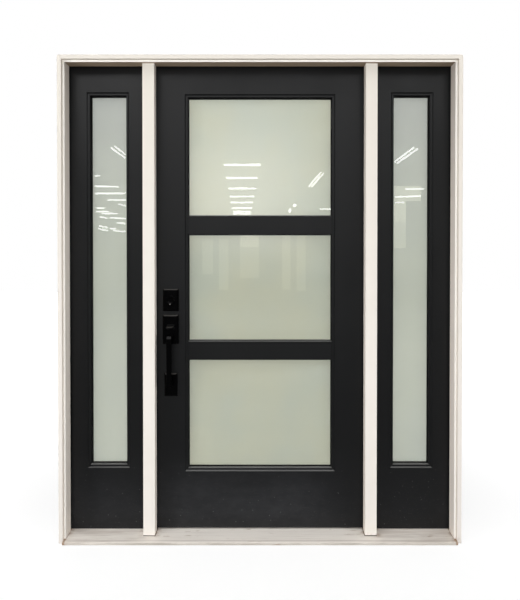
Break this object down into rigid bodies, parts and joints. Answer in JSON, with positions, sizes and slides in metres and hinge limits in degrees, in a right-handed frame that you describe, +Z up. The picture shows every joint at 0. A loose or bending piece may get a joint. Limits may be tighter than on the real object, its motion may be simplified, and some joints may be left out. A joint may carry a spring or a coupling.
{
  "type": "entry door with sidelights",
  "caption": "Hinged entry door with frosted lites, wide bars, pull grip and thumb latch, in a primed wood frame between fixed frosted sidelights.",
  "frame": {"origin": "underside of the sill, in the middle of the unit's width, below the outdoor face of the door", "axes": "+Z up, the outdoor side faces -Y, the hinges are towards +X"},
  "size_m": [1.697, 0.1985, 2.0519],
  "materials": {
    "primed_wood": "off-white primer, matte",
    "sill_wood": "off-white primer, worn",
    "black_wood": "black satin paint",
    "black_hardware": "matte black",
    "hinge_steel": "black oxide",
    "seal_rubber": "matte",
    "spacer_metal": "dark, dull",
    "clear_glass": "clear, polished",
    "frosted_glass": "satin etched, pale green grey"
  },
  "bodies": {
    "frame": {"frame_hinge_leaves": "hinge_steel", "head_casing": "primed_wood", "head_jamb": "primed_wood", "hinge_pins": "hinge_steel", "left_casing": "primed_wood", "left_jamb": "primed_wood", "left_mullion": "primed_wood", "left_sidelight_bottom_rail": "black_wood", "left_sidelight_clear_pane": "clear_glass", "left_sidelight_frosted_pane": "frosted_glass", "left_sidelight_inner_stile": "black_wood", "left_sidelight_outer_stile": "black_wood", "left_sidelight_top_rail": "black_wood", "right_casing": "primed_wood", "right_jamb": "primed_wood", "right_mullion": "primed_wood", "right_sidelight_bottom_rail": "black_wood", "right_sidelight_clear_pane": "clear_glass", "right_sidelight_frosted_pane": "frosted_glass", "right_sidelight_inner_stile": "black_wood", "right_sidelight_outer_stile": "black_wood", "right_sidelight_top_rail": "black_wood", "sidelight_beads": "black_wood", "sidelight_spacers": "spacer_metal", "sidelight_stops": "black_wood", "sill": "sill_wood", "strike_plates": "hinge_steel", "weatherstrips": "seal_rubber"},
    "door": {"deadbolt_cylinder": "black_hardware", "deadbolt_plate": "black_hardware", "grip_foot": "black_hardware", "indoor_lever": "black_hardware", "indoor_thumbturn": "black_hardware", "latch_plate": "black_hardware", "pull_grip": "black_hardware", "door_beads": "black_wood", "door_bottom_rail": "black_wood", "door_clear_panes": "clear_glass", "door_frosted_panes": "frosted_glass", "door_hinge_leaves": "hinge_steel", "door_spacers": "spacer_metal", "door_stops": "black_wood", "door_sweep": "seal_rubber", "door_top_rail": "black_wood", "hinge_stile": "black_wood", "lock_faceplates": "hinge_steel", "lock_stile": "black_wood", "lower_bar": "black_wood", "upper_bar": "black_wood"},
    "thumb_latch": {"thumb_piece": "black_hardware"}
  },
  "joints": [
    {"name": "door_swing", "type": "hinge", "parent": "frame", "child": "door", "pos_m": [0.4595, 0.0551, 1], "axis": [0, 0, -1], "range_deg": [0, 110]},
    {"name": "thumb_press", "type": "hinge", "parent": "door", "child": "thumb_latch", "pos_m": [-0.387, -0.008, 0.90393], "axis": [1, 0, 0], "range_deg": [0, 15], "stiffness_Nm_per_rad": 1, "springref_deg": -5.73}
  ]
}
